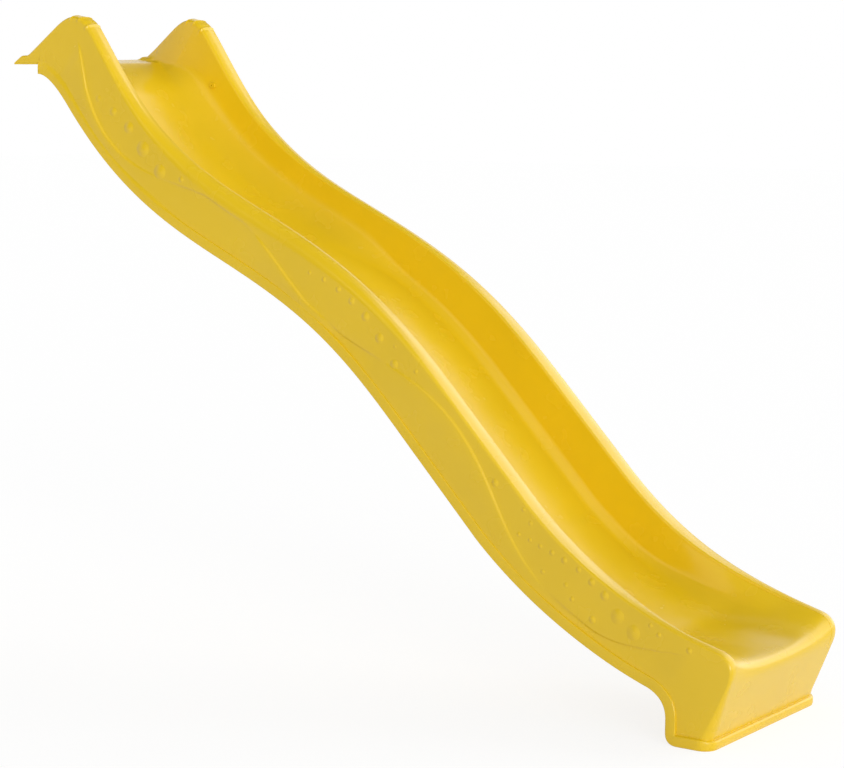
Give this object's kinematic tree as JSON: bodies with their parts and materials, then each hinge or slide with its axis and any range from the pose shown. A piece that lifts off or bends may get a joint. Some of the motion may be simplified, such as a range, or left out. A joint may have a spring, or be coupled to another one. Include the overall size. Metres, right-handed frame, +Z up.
{
  "type": "wave slide",
  "caption": "Moulded twin-wall plastic wave slide with raised rims, a lip that hooks over a play platform, a rounded exit foot and a hose inlet for water.",
  "frame": {"origin": "centre of the foot's flat sole, on the ground", "axes": "+X downhill, from the platform to the exit; +Y across, towards the side with the hose inlet; +Z up"},
  "size_m": [2.1469, 0.5466, 1.6206],
  "materials": {
    "slide_yellow": "satin moulded polyethylene",
    "seal_rubber": "matte",
    "fitting_grey": "matte"
  },
  "bodies": {
    "root": {"channel_shell": "slide_yellow", "underside_shell": "slide_yellow", "jet_nozzle": "slide_yellow", "inner_seal": "seal_rubber", "outer_seal": "seal_rubber", "lock_nut": "fitting_grey", "nipple_washer": "seal_rubber", "hose_nipple": "fitting_grey", "nipple_o_ring": "seal_rubber", "blow_plugs": "slide_yellow"}
  },
  "joints": []
}
